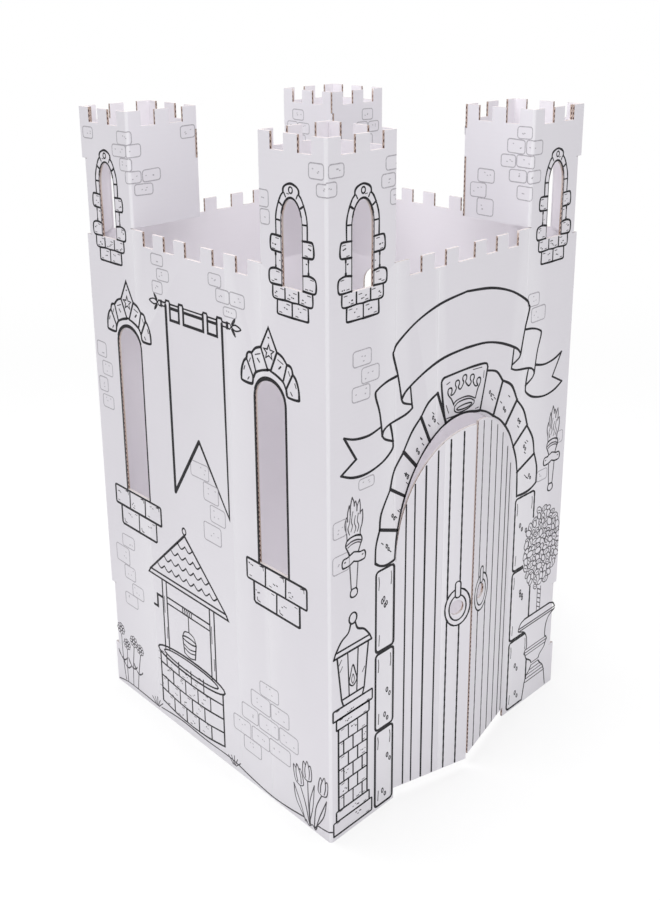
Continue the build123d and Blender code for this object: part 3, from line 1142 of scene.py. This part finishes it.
def draw_well(pen, middle=345.0):
    half, low, rim, eaves = 88.0, 30.0, 138.0, 291.0
    pen.place(middle)
    well_stones(pen, low, half)
    pen.ring(2.8, 0, rim, half + 6, 17)
    pen.ring(2.2, 0, rim + 1, half - 12, 11)
    for way in (-1, 1):
        edge, post = way * half, way * 66
        pen.draw(
            (2.6, (edge, low), (edge, rim - 6)), (2.5, (post - 6, rim + 10), (post - 6, eaves - 9)),
            (2.5, (post + 6, rim + 8), (post + 6, eaves - 9)),
        )
        for x, low_end, high_end in ((post - 2, 30, 52), (post + 2, 80, 112)):
            pen.soft((1.2, (x, rim + low_end), (x, rim + high_end)))
    well_roof(pen, eaves)
    pen.level(2.2, (60, 240), (60, 252))
    pen.draw(*((1.5, (x, 253), (x + 3, 246), (x + 1, 239)) for x in range(-12, 18, 5)))
    pen.line(3.0, (72, 246), (88, 246), (88, 222), (99, 222))
    pen.draw((1.9, (0, 239), (0, 209)))
    bucket(pen, 163)


# %% Well roof and bucket
def well_roof(pen, eaves):
    half, ridge, rows = 104.0, 392.0, 4
    pen.line(2.9, (-half, eaves), (half, eaves), (0, ridge), closed=True)
    pen.line(2.5, (-half, eaves), (-half - 6, eaves - 9), (half + 6, eaves - 9), (half, eaves))
    for row in range(1, rows + 1):
        share = row / (rows + 1)
        up, reach, count = eaves + share * (ridge - eaves), half * (1 - share), 2 * (rows + 1 - row)
        step = 2 * reach / count
        for k in range(count):
            x = k * step - reach
            pen.curve(1.9, (x, up), (x + step / 2, up - 8), (x + step, up), steps=4)
    pen.ring(2.2, 0, ridge + 8, 5, 6)


def bucket(pen, low):
    top = low + 30
    for way in (-1, 1):
        pen.draw((2.2, (way * 15, low), (way * 19, top)))
        pen.draw((1.7, (way * 19, top), (way * 13, low + 42), (0, low + 46)))
    pen.ring(2.0, 0, top, 19, 5)
    for half, up in ((15, low), (16, low + 10), (17, low + 17)):
        pen.draw((1.7, (-half, up), (0, up - 4), (half, up)))


# %% [markdown]
# ## A lantern post
# Beside the door a stone post carries a lantern with a peaked cap. It fits the strip between the
# corner and the door.


# %% Lantern post
def lantern_post(pen, middle=48.0):
    chance = random.Random(5)
    pen.place(middle)
    for half, low, high in ((42, 8, 32), (36, 32, 50), (35, 196, 214), (42, 214, 232)):
        pen.box(2.4, -half, half, low, high, 2)
        specks(pen, chance, 4 - half, half - 4, low, high, count=4)
    foot, top, half, rows = 50, 196, 31, 6
    course = (top - foot) / rows
    pen.draw((2.5, (-half, foot), (-half, top)), (2.5, (half, foot), (half, top)))
    for row in range(rows):
        low = foot + row * course
        joints = (-10, 10) if row % 2 else (-20, 0, 20)
        pen.level(2.0, (half, low))
        pen.draw(*((1.9, (x, low), (x, low + course)) for x in joints))
        specks(pen, chance, -28, 28, low + 1, low + 23)
    lantern(pen, middle, 232)


def lantern(pen, middle, low):
    for _ in pen.both(middle, low):
        pen.line(2.4, (20, 0), (24, 12), (33, 88))
        pen.draw((1.7, (8, 12), (11, 88)), (2.3, (40, 88), (36, 97)))
        pen.draw((2.4, (36, 97), (24, 112), (10, 120), (5, 132)))
    pen.level(2.3, (24, 12), (40, 88), (36, 97), (5, 132))
    pen.ring(2.3, 0, 141, 8, 9)
    pen.curve(1.7, (0, 26), (8, 34), (5, 48), (0, 62), (-5, 48), (-8, 34), closed=True)
    pen.curve(1.2, (0, 30), (3, 37), (0, 46), (-3, 37), tone=SOFT, closed=True)
    pen.soft(*((1.2, (x, y), (x + 5, y + 7)) for x, y in ((-27, 62), (-29, 74), (20, 40))))


# %% [markdown]
# ## Door leaves
# The plank lines run the height of each leaf. The ring handle is printed round a real hole, so a
# finger can pull the leaf.


# %% Planks and ring handle
def leaf_print(planks, ring_at, ring_up):
    """Strokes of one leaf, measured from its hinge."""
    pen = Pen()
    width, bottom, ring_half, ring_rise = door_width / 2, 21.0, 24.5, 33.0
    for across in planks:
        share = 1 - ((width - across) / width) ** 2
        top = door_spring + (door_rise - 1.5) * share ** 0.5 - 5
        pen.line(2.1, (across, bottom), (across, top))
    pen.cover(oval(ring_at, ring_up, ring_half, ring_rise))
    pen.ring(2.1, ring_at, ring_up, ring_half, ring_rise)
    pen.ring(1.9, ring_at, ring_up - 1, 16.5, 22.5)
    strap = rounded(ring_at - 5.2, ring_at + 5.2, ring_up + 17, ring_up + 46, 4.5)
    pen.cover(strap)
    pen.line(1.9, *strap, closed=True)
    return pen


# %% [markdown]
# ## Faces of the castle
# Each flat face is a place to press a pen's strokes. The front walls are measured from the near
# corner, the tower flaps from the fold at their outer face, and the back walls from the corners
# where they meet the front ones.

# %% Faces to print on
x_way, y_way = Vector((1, 0, 0)), Vector((0, 1, 0))


def plan(x, y):
    """A point of the floor plan measured from the near corner."""
    return near_corner + Vector((x, y, 0))


def leaf_face(hinge, angle, way):
    """The face of a door leaf, swung out at its hinge. It runs along way."""
    outward = Vector((-way * sin(angle), -cos(angle), 0))
    along = Vector((way * cos(angle), -sin(angle), 0))
    return Face(plan(hinge, card) + outward * card, along, outward)


front_folds = ((0, 1, 0), (tower, -1, wall_top), (side - tower, 1, wall_top))
back_folds = ((back, -1, 0), (tower, -1, wall_top), (back - tower, 1, wall_top))
window_wall = Face(plan(0, 0), y_way, -x_way, front_folds)
door_wall = Face(plan(0, 0), x_way, -y_way, front_folds)
back_window_wall = Face(plan(back, 0), y_way, x_way, back_folds)
back_plain_wall = Face(plan(0, back), x_way, y_way, back_folds)
near_leaf = leaf_face(door_near, near_leaf_angle, 1)
far_leaf = leaf_face(door_near + door_width, far_leaf_angle, -1)
print("faces measured from", tuple(round(v, 1) for v in near_corner))

# %% Print the window wall
pen = Pen()
for middle in (tower / 2, side - tower / 2):
    tower_window(pen, middle)
tall_window(pen, tall_near, sill_shift=-4.5)
tall_window(pen, side - tall_far, sill_shift=4.0)
pennant(pen)
draw_well(pen)
tulips(pen)
for daisy_place in ((560, 118, 12, 553), (543, 92, 11, 546), (520, 108, 12, 529), (500, 100, 11, 514)):
    daisy(pen, *daisy_place)
for across in (232, 452):
    grass(pen, across)
pen.place()
pen.soft(
    (1.8, (576, 4), (545, 10), (500, 10), (450, 8)),
    (1.8, (440, 10), (380, 16), (310, 14), (240, 16), (190, 9), (140, 4), (100, 6), (60, 12)),
    (1.8, (28, 15), (14, 16.5), (0.2, 19.5)),
)
bricks(
    pen,
    (847, 866, 367, 399), (824, 844, 354, 385), (802, 822, 371, 399),
    (842, 860, 224, 254), (819, 839, 171, 204, 205, 237), (801, 815, 189, 219),
    (514, 541, 271, 319), (447, 475, 234, 271), (410, 442, 246, 290), (480, 511, 248, 286),
    (303, 328, 497, 535), (267, 299, 516, 556), (239, 266, 499, 533), (209, 235, 477, 512),
    (184, 209, 497, 536),
    (186, 212, 116, 160), (153, 182, 91, 134, 136, 182), (119, 147, 71, 114, 118, 164, 166, 207),
    (86, 114, 91, 139, 141, 183, 186, 229), (58, 85, 161, 204),
    (654, 680, 545, 574), (622, 648, 530, 560), (590, 616, 548, 574), (562, 586, 534, 566),
    (1027, 1046, 5, 33), (1004, 1022, -18, 18), (977, 999, 114, 143), (953, 974, 112, 132),
    (1030, 1049, 543, 573), (1029, 1048, 430, 473), (1008, 1028, 430, 450, 452, 490), (988, 1007, 430, 470),
    (968, 987, 430, 457),
)
at_folds = (0.2, side - 1.5, tower - 0.2, side - tower + 0.2)
hide_past_folds(pen, *at_folds)
press("window_wall_print", pen, window_wall)

# %% Print the door wall
pen = Pen(clear_of_door)
for middle in (tower / 2, side - tower / 2):
    tower_window(pen, middle)
banner(pen)
door_arch(pen)
keystone(pen)
jamb(pen, 97.0, 137.0, (429, 287, 147, 4))
jamb(pen, 441.0, 496.0, (426, 284, 145, 3))
for middle in (50.0, 542.0):
    torch(pen, middle)
lantern_post(pen)
pen.place()
pen.soft((1.8, (0.2, 19.5), (6, 18)))
clipped_tree(pen)
bricks(
    pen,
    (1028, 1046, 5, 33), (1004, 1022, -18, 18), (1026, 1044, 112, 145), (1003, 1022, 104, 131),
    (978, 999, 120, 150), (760, 784, 49, 84), (733, 757, 66, 101), (710, 732, 47, 82),
    (763, 785, 450, 480), (734, 758, 462, 499), (574, 590, 60, 92), (514, 540, 8, 34), (458, 485, 8, 40),
    (492, 514, 552, 572), (436, 456, 500, 530), (1011, 1032, 430, 469), (988, 1008, 430, 451),
    (965, 985, 430, 468), (938, 960, 430, 449),
)
hide_past_folds(pen, *at_folds)
press("door_wall_print", pen, door_wall)

# %% Print the door leaves
near_planks = (18.6, 34.0, 53.3, 74.8, 97.5, 121.5)
far_planks = (11.9, 27.0, 48.2, 71.0, 95.3, 123.2)
press("near_leaf_print", leaf_print(near_planks, 118.0, 315.0), near_leaf)
press("far_leaf_print", leaf_print(far_planks, 112.0, 311.0), far_leaf)

# %% [markdown]
# ## Tower flaps and the back
# The flaps that close the towers carry only bricks. The back sheet is printed like the front one:
# stone round its windows and bricks between them.

# %% Print the tower flaps
left_rows = (
    (1029, 1048, -14, 8, 102, 132), (1008, 1028, -14, 23), (988, 1007, -14, 6),
    (968, 987, -14, 22, 24, 59), (947, 966, 9, 43),
)
right_rows = (
    (1034, 1053, 2, 30), (1011, 1032, -14, 13, 15, 48), (988, 1008, -14, 30, 32, 61),
    (965, 985, -14, 9, 11, 44), (938, 960, -14, 26), (958, 980, 72, 106), (932, 955, 89, 121),
    (904, 930, 72, 106),
)
back_rows = ((1024, 1044, 28, 58), (1000, 1020, 12, 40, 42, 72), (976, 996, 30, 62), (950, 970, 70, 104))
flaps = (
    ("left_tower_front", plan(0, side - tower), x_way, -y_way, left_rows),
    ("left_tower_back", plan(tower, back), -y_way, x_way, right_rows),
    ("right_tower_front", plan(side - tower, 0), y_way, -x_way, right_rows),
    ("right_tower_back", plan(back, tower), -x_way, y_way, left_rows),
    ("near_tower_door", plan(tower, 0), y_way, x_way, left_rows),
    ("near_tower_window", plan(0, tower), x_way, y_way, right_rows),
    ("back_tower_left", plan(back - tower, back), -y_way, -x_way, back_rows),
    ("back_tower_right", plan(back, back - tower), -x_way, -y_way, back_rows),
)
for name, corner, along, outward, rows in flaps:
    pen = Pen()
    bricks(pen, *rows)
    hide_past_folds(pen, 0.2, tower - 1.5)
    press(name + "_flap_print", pen, Face(corner, along, outward, ((0, 1, 0),)))

# %% Print the back walls
wall_rows = (
    (847, 866, 367, 399), (824, 844, 354, 385), (842, 860, 224, 254), (819, 839, 171, 204, 205, 237),
    (620, 646, 262, 300, 302, 338), (590, 616, 280, 322), (300, 326, 250, 292),
    (270, 296, 232, 270, 274, 316), (240, 266, 252, 296), (186, 212, 116, 160),
    (153, 182, 91, 134, 136, 182), (119, 147, 118, 164), (150, 176, 452, 494),
    (120, 146, 430, 470, 474, 514), (1027, 1046, 8, 33), (1030, 1049, 535, 560),
)
more_rows = ((560, 586, 100, 142), (530, 556, 84, 124, 128, 168), (500, 526, 102, 146), (600, 626, 440, 484))
back_walls = (
    ("back_window_wall_print", back_window_wall, (tall_far, back - tall_near), ()),
    ("back_plain_wall_print", back_plain_wall, (), more_rows),
)
for name, face, tall_middles, rows in back_walls:
    pen = Pen()
    for middle in (tower / 2, back - tower / 2):
        tower_window(pen, middle)
    for middle in tall_middles:
        tall_window(pen, middle)
    bricks(pen, *wall_rows, *rows)
    press(name, pen, face)

# %% [markdown]
# ## Light
# The photograph's light is soft and shadowless on pure white. A bright world gives the even part.
# Three lamps above the castle fill its inside, which shows through its windows, but leave the
# corners under the towers in shade, and a broad one on the viewer's side lights the front. To the
# camera the floor is mostly white of its own, wholly so far away, and near the castle enough of
# its real light is left to carry a shadow.


# %% World and floor
def white_world(strength):
    world = bpy.data.worlds.new("studio")
    bpy.context.scene.world = world
    world.use_nodes = True
    tree = world.node_tree
    sky = Shade(tree)
    seen, glossy, clear = (sky.node("LightPath", output=k) for k in (0, 3, 6))
    shown = sky.math("MAXIMUM", sky.math("MAXIMUM", seen, glossy), clear)
    background = tree.nodes["Background"]
    background.inputs["Color"].default_value = (1, 1, 1, 1)
    (shown * (1.0 - strength) + strength).feed(background, "Strength")


def studio_floor(half=60.0, grey=0.82, glow_near=0.7, fade=(0.9, 3.0)):
    """A wide floor, which glows to the camera, a little less within the fade's start."""
    mesh = bmesh.new()
    mesh.faces.new([mesh.verts.new((x, y, 0.0)) for x, y in block(-half, half, -half, half)])
    data = bpy.data.meshes.new("studio_floor")
    mesh.to_mesh(data)
    mesh.free()
    floor = add_object("studio_floor", data)
    material, shader, place = new_finish("floor_white", 0.9)
    shader.inputs["Base Color"].default_value = (grey, grey, grey, 1)
    away = place.node("VectorMath", {"operation": "LENGTH"}, {0: place}, output=1)
    seen = place.node("LightPath", output=0)
    glow = place.node("Emission", None, {"Color": (1, 1, 1, 1), "Strength": 1.0})
    share = seen * (glow_near + away.ramp(*fade) * (1 - glow_near))
    mixed = place.node("MixShader", None, {0: share, 2: glow})
    tree = material.node_tree
    tree.links.new(shader.outputs[0], mixed.socket.node.inputs[1])
    mixed.feed(tree.nodes["Material Output"], "Surface")
    data.materials.append(material)


world_strength = 0.65
white_world(world_strength)
studio_floor()
print("world at", world_strength, "and a white floor")


# %% Lamps
def soft_lamp(name, place, size, power, aim=(0, 0, 0.5)):
    """A round lamp aimed at the middle of the castle."""
    light = bpy.data.lights.new(name, "AREA")
    light.shape = "DISK"
    light.size = size
    light.energy = power
    lamp = add_object(name, light)
    lamp.location = place
    lamp.rotation_euler = (Vector(aim) - Vector(place)).to_track_quat("-Z", "Y").to_euler()
    print(name, power, "watts")


soft_lamp("overhead_lamp", (0.0, 0.0, 4.2), size=1.6, power=77)
soft_lamp("near_lamp", (-0.3, -0.3, 2.4), size=0.8, power=9)
soft_lamp("left_lamp", (-0.5, 0.5, 3.0), size=0.8, power=19.5)
soft_lamp("viewer_lamp", (-2.4, -2.4, 3.0), size=2.0, power=38)

# %% [markdown]
# ## Camera
# The camera was found by matching 23 corners of the castle to the photograph. It looks down a
# little at the near corner, and the frame was cropped from a taller one, which a vertical lens
# shift repeats.

# %% Camera
yaw, pitch, roll = radians(45.964), radians(16.121), radians(-0.381)
forward = Vector((cos(pitch) * cos(yaw), cos(pitch) * sin(yaw), -sin(pitch)))
level_right = Vector((sin(yaw), -cos(yaw), 0))
level_up = level_right.cross(forward)
right = level_right * cos(roll) + level_up * sin(roll)
up = level_up * cos(roll) - level_right * sin(roll)
focal_pixels, centre_row, picture_height = 1073.6, 300.0, 900
camera_place = (-1.22593, -1.24451, 1.25899)

camera_data = bpy.data.cameras.new("camera")
camera_data.sensor_width = 24.0
camera_data.lens = focal_pixels / picture_height * camera_data.sensor_width
camera_data.shift_y = (centre_row - picture_height / 2) / picture_height
camera_data.clip_end = 200
camera = add_object("camera", camera_data)
turn = Matrix((right, up, -forward)).transposed().to_4x4()
camera.matrix_world = Matrix.Translation(camera_place) @ turn
bpy.context.scene.camera = camera
bpy.context.scene.view_settings.view_transform = "Standard"
print("lens", round(camera_data.lens, 2), "mm, shift", round(camera_data.shift_y, 4))
